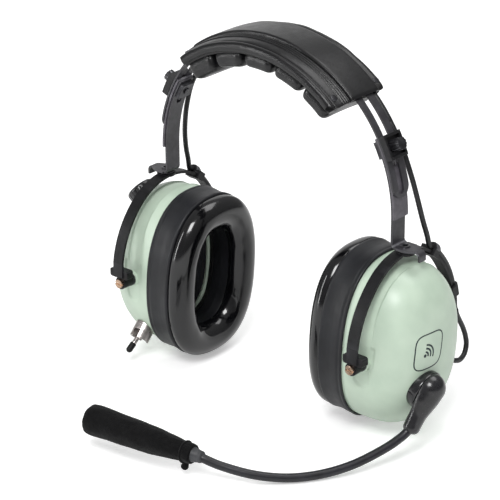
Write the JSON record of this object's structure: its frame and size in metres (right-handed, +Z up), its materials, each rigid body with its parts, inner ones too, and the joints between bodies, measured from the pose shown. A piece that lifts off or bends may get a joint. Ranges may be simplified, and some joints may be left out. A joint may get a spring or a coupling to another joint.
{
  "type": "aviation headset",
  "caption": "Over-ear aviation headset: sprung padded headband, green rigid ear cups on swivelling stirrups and a boom microphone.",
  "frame": {"origin": "midway between the two ear cups, 4.5 mm above the cup pivot axes", "axes": "+Z up, +X towards the wearer's left ear (the cup with the boom), -Y forward, the way the wearer faces"},
  "size_m": [0.2435, 0.1927, 0.2169],
  "materials": {
    "leaf_steel": "satin black enamel",
    "plate_steel": "satin grey-black enamel",
    "block_plastic": "moulded, matt",
    "screw_black": "black oxide",
    "stirrup_nylon": "moulded, fine texture",
    "clip_rubber": "matt",
    "pad_leather": "fine grain",
    "cord_pvc": "satin",
    "dome_green": "satin, pale green",
    "seal_vinyl": "smooth vinyl, semi-gloss",
    "foam_navy": "open-cell foam",
    "screw_brass": "turned",
    "elbow_rubber": "satin",
    "nickel": "bright nickel",
    "boom_sleeve": "satin sleeve",
    "muff_foam": "fine foam"
  },
  "bodies": {
    "headband": {"headband_leaf": "leaf_steel", "head_pad_cover": "pad_leather", "head_pad_cushion": "pad_leather", "pad_snaps": "screw_black", "cord_crown": "cord_pvc"},
    "hanger_left": {"hanger_strap_left": "leaf_steel", "backing_plate_left": "plate_steel", "clamp_block_left": "block_plastic", "clamp_nut_left": "screw_black", "swivel_eyelet_left": "screw_black", "cord_span_left": "cord_pvc"},
    "thumb_screw_left": {"clamp_screw_left": "screw_black"},
    "yoke_left": {"stirrup_left": "stirrup_nylon", "swivel_washer_left": "screw_black", "cord_clips_left": "clip_rubber", "cord_arm_left": "cord_pvc"},
    "cup_left": {"dome_left": "dome_green", "seal_plate_left": "block_plastic", "ear_seal_left": "seal_vinyl", "foam_filter_left": "foam_navy", "earphone_left": "block_plastic", "pivot_screws_left": "screw_brass", "pivot_washers_left": "screw_black", "cord_grommet_left": "clip_rubber", "cord_loop_left": "cord_pvc", "boom_seat": "elbow_rubber"},
    "hanger_right": {"hanger_strap_right": "leaf_steel", "backing_plate_right": "plate_steel", "clamp_block_right": "block_plastic", "clamp_nut_right": "screw_black", "swivel_eyelet_right": "screw_black", "cord_span_right": "cord_pvc"},
    "thumb_screw_right": {"clamp_screw_right": "screw_black"},
    "yoke_right": {"stirrup_right": "stirrup_nylon", "swivel_washer_right": "screw_black", "cord_clips_right": "clip_rubber", "cord_arm_right": "cord_pvc"},
    "cup_right": {"dome_right": "dome_green", "seal_plate_right": "block_plastic", "ear_seal_right": "seal_vinyl", "foam_filter_right": "foam_navy", "earphone_right": "block_plastic", "pivot_screws_right": "screw_brass", "pivot_washers_right": "screw_black", "cord_grommet_right": "clip_rubber", "cord_loop_right": "cord_pvc", "switch_guard": "nickel", "switch_body": "block_plastic", "volume_pot": "nickel"},
    "boom_arm": {"boom_elbow": "elbow_rubber", "elbow_retainer": "nickel"},
    "boom": {"boom_tube": "boom_sleeve", "mic_collar": "clip_rubber", "microphone": "block_plastic", "mic_muff": "muff_foam", "muff_tie": "muff_foam"},
    "lever": {"switch_lever": "nickel", "switch_tip": "clip_rubber"},
    "knob": {"volume_knob": "block_plastic", "volume_shaft": "nickel"}
  },
  "joints": [
    {"name": "height_left", "type": "hinge", "parent": "headband", "child": "hanger_left", "pos_m": [0, 0, 0.07], "axis": [0, -1, 0], "range_deg": [-13, 12], "deforming": ["cord_span_left"]},
    {"name": "clamp_left", "type": "hinge", "parent": "hanger_left", "child": "thumb_screw_left", "pos_m": [0.07841, 0, 0.10995], "axis": [0.891, 0, 0.454], "range_deg": [0, 270]},
    {"name": "swivel_left", "type": "hinge", "parent": "hanger_left", "child": "yoke_left", "pos_m": [0.0886, 0, 0.0515], "axis": [0, 0, 1], "range_deg": [-15, 15]},
    {"name": "tilt_left", "type": "hinge", "parent": "yoke_left", "child": "cup_left", "pos_m": [0.0863, 0, -0.0045], "axis": [0, 1, 0], "range_deg": [-12, 8], "deforming": ["cord_loop_left"]},
    {"name": "height_right", "type": "hinge", "parent": "headband", "child": "hanger_right", "pos_m": [0, 0, 0.07], "axis": [0, 1, 0], "range_deg": [-13, 12], "deforming": ["cord_span_right"]},
    {"name": "clamp_right", "type": "hinge", "parent": "hanger_right", "child": "thumb_screw_right", "pos_m": [-0.07841, 0, 0.10995], "axis": [-0.891, 0, 0.454], "range_deg": [0, 270]},
    {"name": "swivel_right", "type": "hinge", "parent": "hanger_right", "child": "yoke_right", "pos_m": [-0.0886, 0, 0.0515], "axis": [0, 0, 1], "range_deg": [-15, 15]},
    {"name": "tilt_right", "type": "hinge", "parent": "yoke_right", "child": "cup_right", "pos_m": [-0.0863, 0, -0.0045], "axis": [0, 1, 0], "range_deg": [-12, 12], "deforming": ["cord_loop_right"]},
    {"name": "boom_swivel", "type": "hinge", "parent": "cup_left", "child": "boom_arm", "pos_m": [0.1112, -0.0093, -0.0218], "axis": [0.9555, 0, -0.2951], "range_deg": [-60, 190]},
    {"name": "boom_bend", "type": "hinge", "parent": "boom_arm", "child": "boom", "pos_m": [0.1126, -0.0231, -0.03965], "axis": [0, 0, 1], "range_deg": [-12, 12]},
    {"name": "switch_throw", "type": "hinge", "parent": "cup_right", "child": "lever", "pos_m": [-0.084, -0.02639, -0.03877], "axis": [1, 0, 0], "range_deg": [0, 24]},
    {"name": "volume_turn", "type": "hinge", "parent": "cup_right", "child": "knob", "pos_m": [-0.1078, 0.0032, 0.0294], "axis": [-0.7594, -0.04, 0.6494], "range_deg": [-135, 135]}
  ]
}
